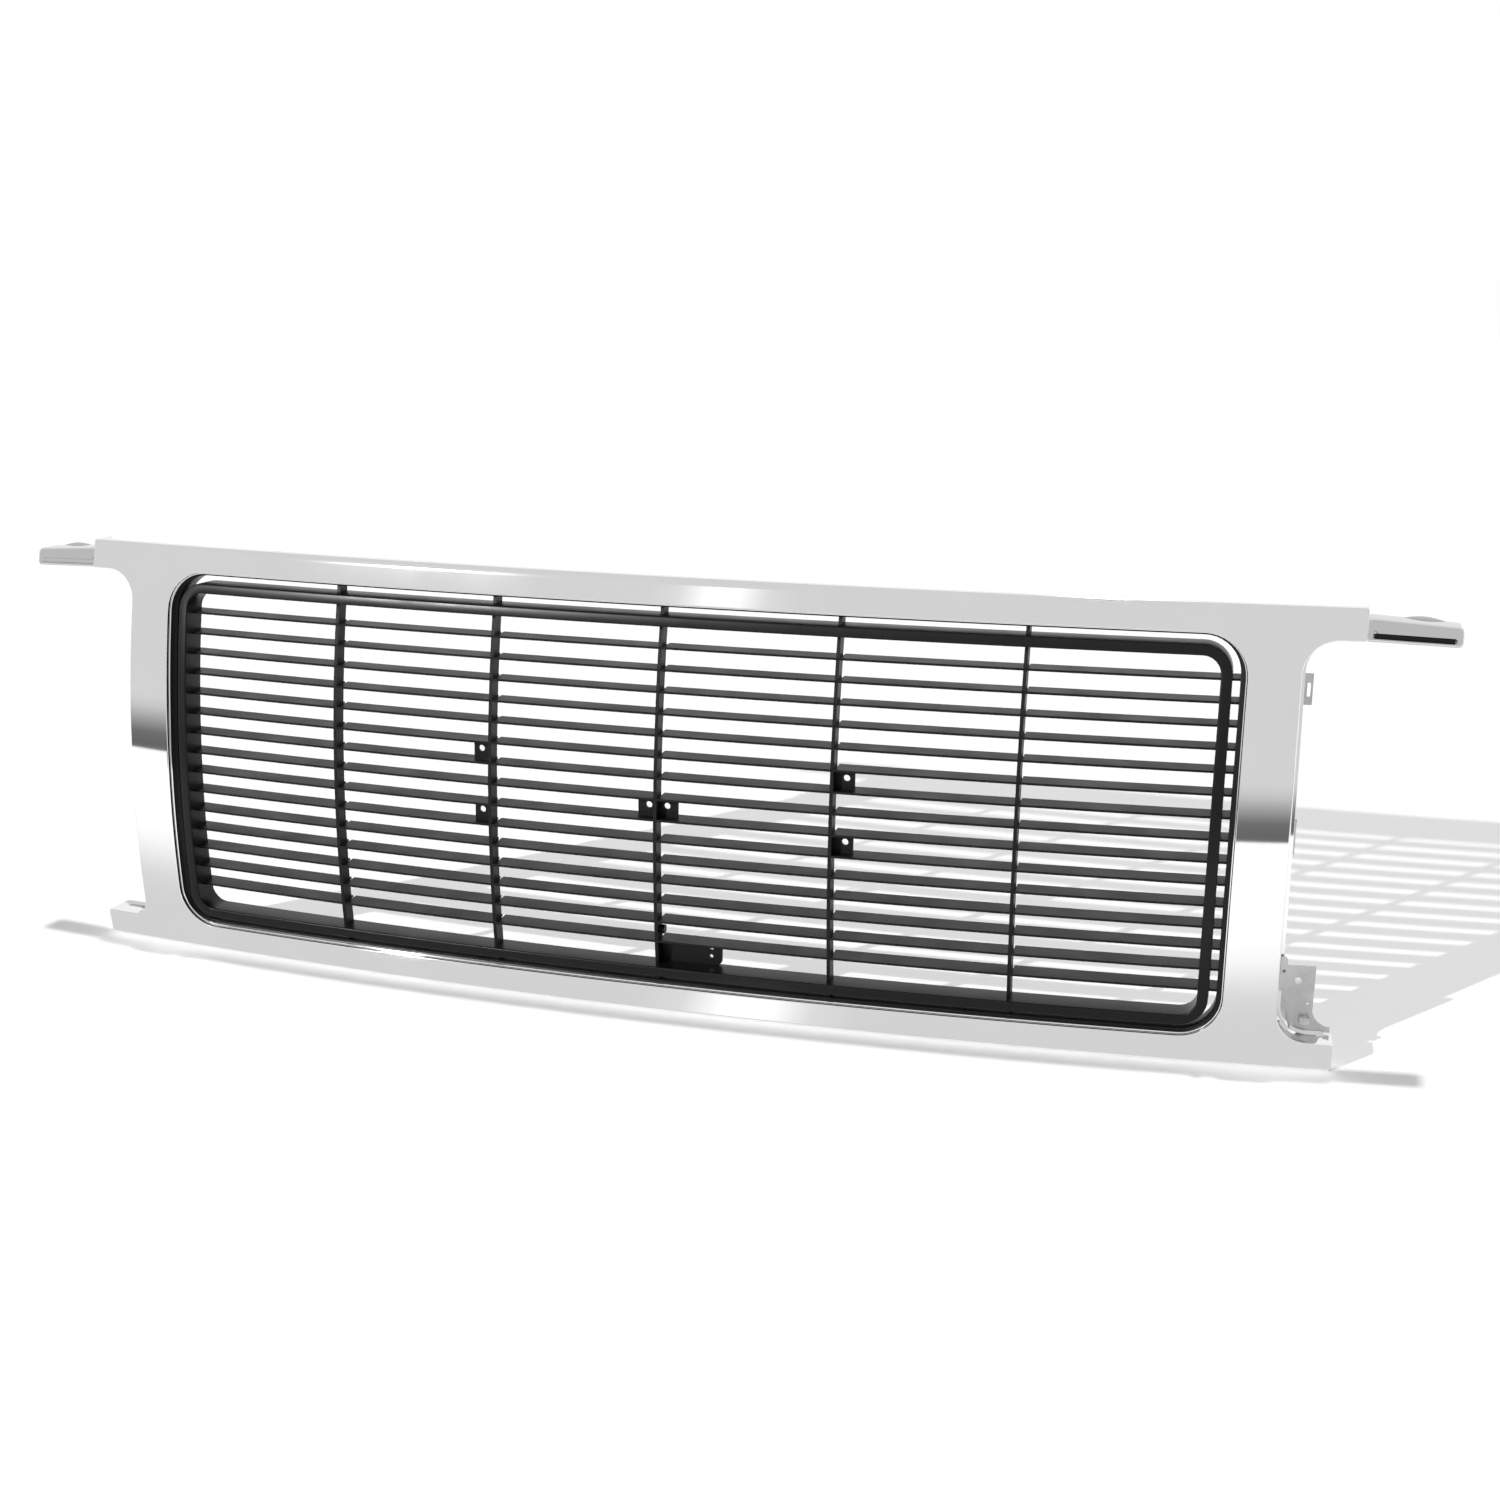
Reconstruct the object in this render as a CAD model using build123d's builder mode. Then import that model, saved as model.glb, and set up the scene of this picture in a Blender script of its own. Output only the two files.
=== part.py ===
"""Front grille: a chrome shell with side extensions round a black louvred insert.

Millimetres. X runs across the vehicle, the front faces -Y and Z is up. The origin is on the
centreline, in the middle of the flat bottom edge that the grille rests on.
Every front surface follows one doubly curved skin: an upright bulge turned about a far vertical axis.
A "depth" is a distance behind the slat fronts on that skin, so negative depths stand ahead of them.
"""
from math import cos, pi, sin, sqrt
import os

from build123d import *

# The skin: plan sweep, upright bulge and backward rake
PLAN_RADIUS = 4743.0
BULGE_RADIUS = 1024.0
BULGE_APEX_Z = 193.0
SKIN_Y = -19.5
SWEEP_ANGLE = 10.5
CUT_REACH = 220.0

# Overall outline of the shell
HEIGHT = 431.0
MID_Z = 215.7
TOP_ARM_X = 640.0
BOTTOM_ARM_X = 642.0
TOP_ARM_UNDER_Z = 401.5
BOTTOM_ARM_TOP_Z = 27.5
COLUMN_TOP_X = 587.0
COLUMN_BOTTOM_X = 590.0
TOP_FILLET = 31.0
BOTTOM_FILLET_RIGHT = 29.0
BOTTOM_FILLET_LEFT = 18.0
OPENING_X = 541.0
OPENING_Z = 189.0
OPENING_CORNER = 40.0

# Shell walls
SHELL_FRONT = -12.7
SHELL_DEPTH = 28.0
TOP_RETURN_DEPTH = 8.0
INNER_RETURN_DEPTH = 11.0
SKIN = 2.5
RIM_WIDTH = 3.5
BOSS_RADIUS = 4.0
PILOT_RADIUS = 1.5
PILOT_DEPTH = 7.6
SHELL_REAR = SHELL_FRONT + SHELL_DEPTH
FLANGE_FRONT = SHELL_FRONT + INNER_RETURN_DEPTH

# Insert frame and floating ring
FRAME_X = 535.0
FRAME_Z = 185.5
FRAME_CORNER = 34.0
FRAME_WALL = 2.5
FLANGE_THICKNESS = 3.0
FLANGE_REACH = 14.0
FRAME_REAR = 20.0
RING_X = 528.0
RING_Z = 178.3
RING_CORNER = 27.0
RING_WIDTH = 10.0
RING_FRONT = -11.4
RING_DEPTH = 29.0

# Slats and ribs
PITCH = 20.8
SLAT_COUNT = 15
SLAT_THICKNESS = 2.2
SLAT_DEPTH = 25.5
RIB_COUNT = 5
RIB_SPACING = 172.6
RIB_THICKNESS = 3.4
RIB_FRONT = 0.5
RIB_DEPTH = 15.5
LAP_DEPTH = 8.0
LAP_GAP = 0.1
SOCKET_DEPTH = 1.5

# Emblem tabs and the lower centre bracket
TAB_WIDTH = 18.5
TAB_DEPTH = 11.0
TAB_THICKNESS = 2.5
EMBLEM_HOLE_RADIUS = 3.2
EMBLEM_HOLE_X = 185.0
CENTRE_HOLE_X = 9.2
EMBLEM_HOLE_RISE = 13.6
BRACKET_LENGTH = 63.0
BRACKET_DEPTH = 13.0
BRACKET_CORNER = 6.0
BRACKET_HOLE_X = 52.0
BRACKET_HOLE_Z = MID_Z - 151.0
BRACKET_HOLE_RADIUS = 2.2
BRACKET_SCREW_Z = MID_Z - 159.5
STOP_RADIUS = 4.5
STOP_LENGTH = 4.5

# Side extensions
EAR_FRONT = -4.7
EAR_DEPTH = 30.0
EAR_ROOT_X = 640.5
EAR_TIP_X = 722.0
EAR_ROOT_Z = (400.5, 421.0)
EAR_TIP_Z = (397.5, 415.4)
TONGUE_X = 602.0
TONGUE_Z = (408.0, 419.5)
EAR_SCREWS = ((610.0, 413.7), (626.0, 413.7))
EAR_TIP_FILLET = 4.0
EAR_FLANGE_X = 662.0
EAR_FLANGE_RISE = 1.5
GROOVE_INSET = 5.0
GROOVE_Z = (5.0, 8.0)
GROOVE_DEPTH = 1.8

# Side brackets behind the shell's rim. Points are (distance from the centreline, height).
PLATE_THICKNESS = 2.5
SIDE_SCREWS = ((572.0, 50.0), (572.0, 85.0), (572.0, 220.0), (572.0, 346.0), (572.0, 362.0))
VEHICLE_HOLE_RADIUS = 3.2
VEHICLE_HOLE = (607.0, 81.0)
LOCATING_HOLE = (617.0, 58.0)
LOCATING_RADIUS = 1.3
LOWER_PLATE_X = (562.0, 622.0)
LOWER_PLATE_Z = (29.5, 96.0)
LOWER_SWEEP = ((622.0, 50.0), (627.0, 40.0), (639.0, 34.5))
LEFT_PLATE_X = (562.0, 604.0)
LEFT_VEHICLE_HOLE = (597.0, 81.0)
UPPER_PLATE_X = (562.0, 598.0)
UPPER_PLATE_Z = (340.0, 368.0)
UPPER_SLOT = (594.5, 353.5)
SLOT_LENGTH = 13.0
SLOT_WIDTH = 3.0
MIDDLE_PLATE_X = (562.0, 593.5)
MIDDLE_PLATE_Z = (203.0, 236.0)
SIDE_TAB_X = (590.2, 596.5)
SIDE_TAB_Z = (72.0, 106.0)
SIDE_TAB_CHAMFER = 7.0
SIDE_TAB_DEPTH = 9.0
SIDE_TAB_HOLE = (593.4, 92.0)
SIDE_TAB_HOLE_RADIUS = 1.6
FOOT_CLIP = (615.0, 42.0)
CLIP_WIDTH = 9.0
CLIP_HEIGHT = 7.0
CLIP_DEPTH = 5.0
NUT_SIZE = 15.0
NUT_THICKNESS = 1.5
NUT_NECK = 6.0
NUT_NECK_RADIUS = 5.5
NUT_HOLE_RADIUS = 4.2
NUT_GAP = 0.3

# Screws
SCREW_RADIUS = 1.45
SCREW_LENGTH = 10.0
SCREW_HEAD_RADIUS = 3.6
SCREW_HEAD_HEIGHT = 2.4
SEAT_GAP = 0.08
CLEARANCE_RADIUS = 1.9

axis_y = SKIN_Y + PLAN_RADIUS


def bulge(z):
    """How far the skin falls back at this height, on the centreline: a parabola."""
    return ((z - BULGE_APEX_Z) ** 2 - (MID_Z - BULGE_APEX_Z) ** 2) / (2 * BULGE_RADIUS)


def skin_y(x, z, depth=0.0):
    """Y of the skin, depth behind the slat fronts."""
    return axis_y - sqrt((PLAN_RADIUS - bulge(z) - depth) ** 2 - x**2)


def rear_plane(x, z, depth):
    """Plane on the skin whose normal points rearwards, square to the skin."""
    slope_x = x / PLAN_RADIUS
    slope_z = (z - BULGE_APEX_Z) / BULGE_RADIUS
    return Plane(origin=(x, skin_y(x, z, depth), z), x_dir=(1, slope_x, 0), z_dir=(-slope_x, 1, -slope_z))


def radial_plane(angle):
    """Upright plane through the far axis: local x is the radius, local y is the height."""
    a = angle * pi / 180
    return Plane(origin=(0, axis_y, 0), x_dir=(sin(a), -cos(a), 0), z_dir=(-cos(a), -sin(a), 0))


far_axis = Axis((0, axis_y, 0), (0, 0, 1))


def band(front, rear, low=-20.0, high=HEIGHT + 20.0):
    """Curved slab between two depths of the skin."""
    middle = (low + high) / 2

    def rho(z, depth):
        return PLAN_RADIUS - bulge(z) - depth

    with BuildPart() as slab:
        with BuildSketch(radial_plane(-SWEEP_ANGLE)):
            with BuildLine():
                for depth in (front, rear):
                    # a parabola is the curve with one control point, which stands twice as proud
                    control = 2 * rho(middle, depth) - (rho(low, depth) + rho(high, depth)) / 2
                    Bezier((rho(low, depth), low), (control, middle), (rho(high, depth), high))
                for end in (low, high):
                    Line((rho(end, front), end), (rho(end, rear), end))
            make_face()
        revolve(axis=far_axis, revolution_arc=2 * SWEEP_ANGLE)
    return slab.part


def cut_plane():
    """Upright plane behind the grille: an extrusion from it runs forwards through everything."""
    return Plane.XZ.offset(-CUT_REACH / 2)


def shell_outline(grow=0.0):
    """Face of the shell: two bars with arms and two columns, all in one outline."""
    with BuildSketch() as face:
        with BuildLine():
            Polyline(
                (-TOP_ARM_X, HEIGHT),
                (TOP_ARM_X, HEIGHT),
                (TOP_ARM_X, TOP_ARM_UNDER_Z),
                (COLUMN_TOP_X, TOP_ARM_UNDER_Z),
                (COLUMN_BOTTOM_X, BOTTOM_ARM_TOP_Z),
                (BOTTOM_ARM_X, BOTTOM_ARM_TOP_Z),
                (BOTTOM_ARM_X, 0),
                (-BOTTOM_ARM_X, 0),
                (-BOTTOM_ARM_X, BOTTOM_ARM_TOP_Z),
                (-COLUMN_BOTTOM_X, BOTTOM_ARM_TOP_Z),
                (-COLUMN_TOP_X, TOP_ARM_UNDER_Z),
                (-TOP_ARM_X, TOP_ARM_UNDER_Z),
                close=True,
            )
        make_face()
        inner = face.vertices().filter_by(lambda v: abs(v.X) < TOP_ARM_X - 1)
        fillet(inner.filter_by(lambda v: v.Y > MID_Z), TOP_FILLET)
        fillet(inner.filter_by(lambda v: v.Y < MID_Z and v.X > 0), BOTTOM_FILLET_RIGHT)
        fillet(inner.filter_by(lambda v: v.Y < MID_Z and v.X < 0), BOTTOM_FILLET_LEFT)
        if grow:
            offset(amount=grow, kind=Kind.INTERSECTION)
    return face.sketch


def rounded_opening(half_x, half_z, corner):
    """Rounded rectangle about the middle of the opening."""
    with BuildSketch() as face:
        with Locations((0, MID_Z)):
            RectangleRounded(2 * half_x, 2 * half_z, corner)
    return face.sketch


def insert_screw_spots():
    """Where the insert's screws stand, all round the opening."""
    out_z = OPENING_Z + 9
    out_x = OPENING_X + 9
    spots = [(x, MID_Z + side * out_z) for side in (-1, 1) for x in (-400, -240, -80, 80, 240, 400)]
    spots += [(side * out_x, MID_Z + rise) for side in (-1, 1) for rise in (-70, 70)]
    return spots


def both_sides(spots):
    """The same spots on the left and on the right."""
    return [(side * x, z) for side in (-1, 1) for x, z in spots]


def slat_heights():
    """Underside of each slat, top one first."""
    return [MID_Z + PITCH * (SLAT_COUNT // 2 - i) for i in range(SLAT_COUNT)]


def rib_positions():
    """X of each rib's mid-plane, left one first."""
    return [RIB_SPACING * (i - RIB_COUNT // 2) for i in range(RIB_COUNT)]


def save(block, label):
    """Label a finished piece and write it."""
    block.part.label = label
    export_step(block.part, f"parts/{label}.step")


def shaped(outline, front, rear):
    """Outline run through the skin's slab between two depths."""
    with BuildPart() as piece:
        with BuildSketch(cut_plane()):
            add(outline)
        extrude(amount=CUT_REACH)
        add(band(front, rear), mode=Mode.INTERSECT)
    return piece.part


def polygon(*points):
    """Closed outline with straight sides."""
    with BuildSketch() as face:
        with BuildLine():
            Polyline(*points, close=True)
        make_face()
    return face.sketch


def cylinders(spots, radius, front, rear):
    """Round bars square to the skin at each spot, trimmed between two depths."""
    with BuildPart() as bars:
        for x, z in spots:
            with Locations(rear_plane(x, z, rear)):
                Cylinder(radius, 4 * SHELL_DEPTH)
        add(band(front, rear), mode=Mode.INTERSECT)
    return bars.part


def drill(spots, depth, radius, length):
    """Holes square to the skin, in the piece being built, centred on a depth."""
    for x, z in spots:
        with Locations(rear_plane(x, z, depth)):
            Cylinder(radius, length, mode=Mode.SUBTRACT)


def shell_cavities():
    """Hollows behind the face, behind the opening's return and behind the top return."""
    far = SHELL_FRONT + 3 * SHELL_DEPTH
    with BuildSketch() as bars:
        add(shell_outline(-SKIN))
        add(rounded_opening(OPENING_X + SKIN, OPENING_Z + SKIN, OPENING_CORNER + SKIN), mode=Mode.SUBTRACT)
    opening = rounded_opening(OPENING_X + 2 * SKIN, OPENING_Z + 2 * SKIN, OPENING_CORNER + SKIN)
    inner_x = TOP_ARM_X - SKIN
    top = polygon(
        (-inner_x, HEIGHT - 2 * SKIN),
        (inner_x, HEIGHT - 2 * SKIN),
        (inner_x, HEIGHT + SKIN),
        (-inner_x, HEIGHT + SKIN),
    )
    return (
        shaped(bars.sketch, SHELL_FRONT + SKIN, far),
        shaped(opening, FLANGE_FRONT, far),
        shaped(top, SHELL_FRONT + TOP_RETURN_DEPTH, far),
    )


def shell_rim():
    """Outward rim at the rear edge of the columns' and arms' returns."""
    with BuildSketch() as ring:
        add(shell_outline(RIM_WIDTH))
        add(shell_outline(-SKIN), mode=Mode.SUBTRACT)
        with Locations((0, HEIGHT / 2)):
            Rectangle(2 * TOP_ARM_X, HEIGHT, mode=Mode.INTERSECT)
        with Locations((0, HEIGHT)):
            Rectangle(3 * TOP_ARM_X, 2 * (HEIGHT - TOP_ARM_UNDER_Z - SKIN), mode=Mode.SUBTRACT)
    return shaped(ring.sketch, SHELL_REAR - SKIN, SHELL_REAR)


def chrome_shell():
    """Plated outer moulding: face, returns, rim and screw bosses in one piece."""
    groups = (
        (insert_screw_spots(), FLANGE_FRONT),
        (both_sides(SIDE_SCREWS), SHELL_REAR),
        (both_sides(EAR_SCREWS), EAR_FRONT),
    )
    with BuildSketch() as face:
        add(shell_outline())
        add(rounded_opening(OPENING_X, OPENING_Z, OPENING_CORNER), mode=Mode.SUBTRACT)
    solid = shaped(face.sketch, SHELL_FRONT, SHELL_REAR)
    hollows = shell_cavities()
    rim = shell_rim()
    bosses = [cylinders(spots, BOSS_RADIUS, SHELL_FRONT + SKIN / 2, rear) for spots, rear in groups]
    with BuildPart() as shell:
        add(solid)
        for hollow in hollows:
            add(hollow, mode=Mode.SUBTRACT)
        add(rim)
        for group in bosses:
            add(group)
        for spots, rear in groups:
            drill(spots, rear, PILOT_RADIUS, 2 * PILOT_DEPTH)
        # windows in the arm ends for the side extensions' tongues
        for side in (-1, 1):
            notch_y = skin_y(TOP_ARM_X - 2 * SKIN, TONGUE_Z[0], EAR_FRONT - 1)
            with Locations((side * TOP_ARM_X, notch_y, sum(TONGUE_Z) / 2)):
                Box(
                    4 * SKIN,
                    2 * SHELL_DEPTH,
                    TONGUE_Z[1] - TONGUE_Z[0] + 1,
                    align=(Align.CENTER, Align.MIN, Align.CENTER),
                    mode=Mode.SUBTRACT,
                )
    return shell


def slat_sockets(outer_x, width):
    """Slots in the piece being built where the slats run through, open to the rear."""
    for z in slat_heights():
        for side in (-1, 1):
            inner_x = outer_x - width
            spot = (side * (outer_x - width / 2), skin_y(inner_x, z, -LAP_GAP), z - LAP_GAP)
            with Locations(spot):
                Box(
                    width + 2 * LAP_GAP,
                    CUT_REACH,
                    SLAT_THICKNESS + 2 * LAP_GAP,
                    align=(Align.CENTER, Align.MIN, Align.MIN),
                    mode=Mode.SUBTRACT,
                )


def rib_sockets(outer_z, width):
    """Slots in the piece being built where the ribs run through, open to the rear."""
    for x in rib_positions():
        for side in (-1, 1):
            z = MID_Z + side * (outer_z - width / 2)
            front = min(skin_y(x, z - width / 2, RIB_FRONT), skin_y(x, z + width / 2, RIB_FRONT))
            with Locations((x, front - LAP_GAP, z)):
                Box(
                    RIB_THICKNESS + 2 * LAP_GAP,
                    CUT_REACH,
                    width + 2 * LAP_GAP,
                    align=(Align.CENTER, Align.MIN, Align.CENTER),
                    mode=Mode.SUBTRACT,
                )


def loop(half_x, half_z, corner, width):
    """Rounded rectangular loop of even width, given by its outside."""
    with BuildSketch() as face:
        add(rounded_opening(half_x, half_z, corner))
        add(rounded_opening(half_x - width, half_z - width, corner - width), mode=Mode.SUBTRACT)
    return face.sketch


def insert_frame():
    """Black frame: a flange behind the shell's opening and an upright wall inside it."""
    flange_width = OPENING_X + FLANGE_REACH - FRAME_X
    flange_corner = FRAME_CORNER + flange_width
    flange = loop(FRAME_X + flange_width, FRAME_Z + flange_width, flange_corner, flange_width)
    wall = loop(FRAME_X + FRAME_WALL, FRAME_Z + FRAME_WALL, FRAME_CORNER + FRAME_WALL, FRAME_WALL)
    plate = shaped(flange, FLANGE_FRONT, FLANGE_FRONT + FLANGE_THICKNESS)
    tube = shaped(wall, FLANGE_FRONT + FLANGE_THICKNESS / 2, FRAME_REAR)
    with BuildPart() as frame:
        add(plate)
        add(tube)
        drill(insert_screw_spots(), FLANGE_FRONT, CLEARANCE_RADIUS, 4 * FLANGE_THICKNESS)
        slat_sockets(FRAME_X + FRAME_WALL, FRAME_WALL)
        rib_sockets(FRAME_Z + FRAME_WALL, FRAME_WALL)
    return frame


def floating_ring():
    """Black ring inside the frame, hollow from the rear, carried by the slats and ribs."""
    rear = RING_FRONT + RING_DEPTH
    inset = (RING_X - FRAME_WALL, RING_Z - FRAME_WALL, RING_CORNER - FRAME_WALL)
    solid = shaped(loop(RING_X, RING_Z, RING_CORNER, RING_WIDTH), RING_FRONT, rear)
    channel = shaped(loop(*inset, RING_WIDTH - 2 * FRAME_WALL), RING_FRONT + FRAME_WALL, rear + 1)
    with BuildPart() as ring:
        add(solid)
        add(channel, mode=Mode.SUBTRACT)
        slat_sockets(RING_X, RING_WIDTH)
        rib_sockets(RING_Z, RING_WIDTH)
    return ring


def slat(z):
    """One louvre: a thin strip along the skin, half-lapped over each rib from the front."""
    with BuildPart() as strip:
        with BuildSketch(radial_plane(-SWEEP_ANGLE)):
            with Locations((PLAN_RADIUS - bulge(z), z)):
                Rectangle(SLAT_DEPTH, SLAT_THICKNESS, align=(Align.MAX, Align.MIN))
        revolve(axis=far_axis, revolution_arc=2 * SWEEP_ANGLE)
        with Locations((0, 0, z)):
            Box(2 * (FRAME_X + SOCKET_DEPTH), 2 * CUT_REACH, PITCH, mode=Mode.INTERSECT)
        for x in rib_positions():
            with Locations((x, skin_y(x, z, LAP_DEPTH), z)):
                Box(
                    RIB_THICKNESS + 2 * LAP_GAP,
                    CUT_REACH,
                    PITCH,
                    align=(Align.CENTER, Align.MIN, Align.CENTER),
                    mode=Mode.SUBTRACT,
                )
    return strip


def rib(x):
    """One upright blade: its front follows the bulge and is notched for every slat."""
    low = MID_Z - FRAME_Z - SOCKET_DEPTH
    high = MID_Z + FRAME_Z + SOCKET_DEPTH
    with BuildPart() as blade:
        with BuildSketch(Plane.YZ.offset(x - RIB_THICKNESS / 2)):
            with BuildLine():
                for depth in (RIB_FRONT, RIB_DEPTH):
                    ThreePointArc(*[(skin_y(x, z, depth), z) for z in (low, MID_Z, high)])
                for z in (low, high):
                    Line((skin_y(x, z, RIB_FRONT), z), (skin_y(x, z, RIB_DEPTH), z))
            make_face()
        extrude(amount=RIB_THICKNESS)
        for z in slat_heights():
            with Locations((x, skin_y(x, z, LAP_DEPTH) + LAP_GAP, z - LAP_GAP)):
                Box(
                    2 * RIB_THICKNESS,
                    CUT_REACH,
                    SLAT_THICKNESS + 2 * LAP_GAP,
                    align=(Align.CENTER, Align.MAX, Align.MIN),
                    mode=Mode.SUBTRACT,
                )
    return blade


def emblem_tabs(spots):
    """Holed plates between two slats. Each spot is a rib's x, a side and the lower slat's underside."""
    with BuildPart() as tabs:
        for rib_x, side, z in spots:
            x = rib_x + side * (RIB_THICKNESS + TAB_WIDTH) / 2
            y = skin_y(x, MID_Z, TAB_DEPTH)
            with Locations((x, y, z + SLAT_THICKNESS)):
                Box(
                    TAB_WIDTH,
                    TAB_THICKNESS,
                    PITCH - SLAT_THICKNESS,
                    align=(Align.CENTER, Align.MIN, Align.MIN),
                )
            hole_x = side * (EMBLEM_HOLE_X if rib_x else CENTRE_HOLE_X)
            with Locations(Plane((hole_x, y, z + EMBLEM_HOLE_RISE), z_dir=(0, 1, 0))):
                Cylinder(EMBLEM_HOLE_RADIUS, 4 * TAB_THICKNESS, mode=Mode.SUBTRACT)
    return tabs


def lower_centre_bracket():
    """Black plate under the last slat, right of the centre rib, with a rounded holed end."""
    low = MID_Z - RING_Z + RING_WIDTH
    high = slat_heights()[-1]
    left = RIB_THICKNESS / 2
    y = skin_y(0, low, BRACKET_DEPTH)
    with BuildPart() as plate:
        with Locations(((left + BRACKET_LENGTH) / 2, y, (low + high) / 2)):
            Box(
                BRACKET_LENGTH - left,
                TAB_THICKNESS,
                high - low,
                align=(Align.CENTER, Align.MIN, Align.CENTER),
            )
        end = plate.edges().filter_by(Axis.Y).group_by(Axis.X)[-1]
        fillet(end, BRACKET_CORNER)
        for z, radius in ((BRACKET_HOLE_Z, BRACKET_HOLE_RADIUS), (BRACKET_SCREW_Z, CLEARANCE_RADIUS)):
            with Locations(Plane((BRACKET_HOLE_X, y, z), z_dir=(0, 1, 0))):
                Cylinder(radius, 4 * TAB_THICKNESS, mode=Mode.SUBTRACT)
    return plate


def bracket_boss():
    """Round stop on the centre rib's right side, one gap above the bracket."""
    z = slat_heights()[-2] - PITCH / 2 + SLAT_THICKNESS / 2
    with BuildPart() as boss:
        with Locations(Plane((RIB_THICKNESS / 2, skin_y(0, z, TAB_DEPTH), z), z_dir=(1, 0, 0))):
            Cylinder(STOP_RADIUS, STOP_LENGTH, align=(Align.CENTER, Align.CENTER, Align.MIN))
    return boss


def side_extension():
    """Bright wing right of the top bar: a hollow bar with a groove, a rear flange and a tongue."""
    root_low, root_high = EAR_ROOT_Z
    tip_low, tip_high = EAR_TIP_Z
    far = EAR_FRONT + 2 * EAR_DEPTH
    with BuildSketch() as outline:
        add(
            polygon(
                (EAR_ROOT_X, root_low),
                (EAR_TIP_X, tip_low),
                (EAR_TIP_X, tip_high),
                (EAR_ROOT_X, root_high),
            )
        )
        fillet(outline.vertices().filter_by(lambda v: v.X > EAR_TIP_X - 1), EAR_TIP_FILLET)
    with BuildSketch() as inside:
        add(outline.sketch)
        offset(amount=-SKIN, kind=Kind.INTERSECTION, mode=Mode.REPLACE)
    groove = polygon(
        (EAR_ROOT_X + GROOVE_INSET, root_low + GROOVE_Z[0]),
        (EAR_TIP_X - GROOVE_INSET, tip_low + GROOVE_Z[0]),
        (EAR_TIP_X - GROOVE_INSET, tip_low + GROOVE_Z[1]),
        (EAR_ROOT_X + GROOVE_INSET, root_low + GROOVE_Z[1]),
    )
    flange_root = (EAR_FLANGE_X, root_high - 2 * SKIN)
    flange_tip = (EAR_TIP_X, tip_high - EAR_TIP_FILLET)
    with BuildSketch() as flange:
        with BuildLine():
            foot = tip_low + 2 * SKIN
            Polyline(flange_tip, (EAR_TIP_X, foot), (EAR_FLANGE_X, foot), flange_root)
            crest = ((EAR_TIP_X + EAR_FLANGE_X) / 2, root_high + EAR_FLANGE_RISE)
            ThreePointArc(flange_root, crest, flange_tip)
        make_face()
    body = shaped(outline.sketch, EAR_FRONT, EAR_FRONT + EAR_DEPTH)
    hollow = shaped(inside.sketch, EAR_FRONT + SKIN, far)
    channel = shaped(groove, EAR_FRONT - SKIN, EAR_FRONT + GROOVE_DEPTH)
    tab = shaped(rectangle_outline((TONGUE_X, EAR_ROOT_X + SKIN), TONGUE_Z), EAR_FRONT, EAR_FRONT + SKIN)
    rear = shaped(flange.sketch, EAR_FRONT + EAR_DEPTH - SKIN, EAR_FRONT + EAR_DEPTH)
    with BuildPart() as wing:
        add(body)
        add(hollow, mode=Mode.SUBTRACT)
        add(channel, mode=Mode.SUBTRACT)
        add(tab)
        add(rear)
        drill(EAR_SCREWS, EAR_FRONT, CLEARANCE_RADIUS, 4 * SKIN)
    return wing


def bracket_plate(outline, screw_spots, holes=()):
    """Plate on the rear of the shell's rim, with screw holes and any other (x, z, radius) holes."""
    sheet = shaped(outline, SHELL_REAR, SHELL_REAR + PLATE_THICKNESS)
    with BuildPart() as plate:
        add(sheet)
        drill(screw_spots, SHELL_REAR, CLEARANCE_RADIUS, 4 * PLATE_THICKNESS)
        for x, z, radius in holes:
            with Locations(Plane((x, skin_y(x, z, SHELL_REAR), z), z_dir=(0, 1, 0))):
                Cylinder(radius, 8 * PLATE_THICKNESS, mode=Mode.SUBTRACT)
    return plate


def rectangle_outline(x_range, z_range):
    """Upright rectangle between two distances from the centreline and two heights."""
    (x0, x1), (z0, z1) = x_range, z_range
    return polygon((x0, z0), (x1, z0), (x1, z1), (x0, z1))


def lower_bracket():
    """Holed plate beside the column's foot that sweeps out along the bottom arm."""
    (x0, x1), (z0, z1) = LOWER_PLATE_X, LOWER_PLATE_Z
    sweep_end = LOWER_SWEEP[2]
    with BuildSketch() as outline:
        with BuildLine():
            Polyline(LOWER_SWEEP[0], (x1, z1), (x0, z1), (x0, z0), (sweep_end[0], z0), sweep_end)
            ThreePointArc(*LOWER_SWEEP)
        make_face()
    holes = ((*VEHICLE_HOLE, VEHICLE_HOLE_RADIUS), (*LOCATING_HOLE, LOCATING_RADIUS))
    return bracket_plate(outline.sketch, SIDE_SCREWS[:2], holes)


def narrow_lower_bracket():
    """Plain plate with one hole, which the left column hides from in front."""
    outline = rectangle_outline(LEFT_PLATE_X, LOWER_PLATE_Z)
    return bracket_plate(outline, SIDE_SCREWS[:2], ((*LEFT_VEHICLE_HOLE, VEHICLE_HOLE_RADIUS),))


def upper_bracket():
    """Small plate beside the column's top with an upright slot."""
    plate = bracket_plate(rectangle_outline(UPPER_PLATE_X, UPPER_PLATE_Z), SIDE_SCREWS[3:])
    with BuildPart() as slotted:
        add(plate.part)
        with BuildSketch(cut_plane()):
            with Locations(UPPER_SLOT):
                SlotOverall(SLOT_LENGTH, SLOT_WIDTH, rotation=90)
        extrude(amount=CUT_REACH, mode=Mode.SUBTRACT)
    return slotted


def middle_bracket():
    """Narrow plate half-way up the column."""
    return bracket_plate(rectangle_outline(MIDDLE_PLATE_X, MIDDLE_PLATE_Z), SIDE_SCREWS[2:3])


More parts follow.
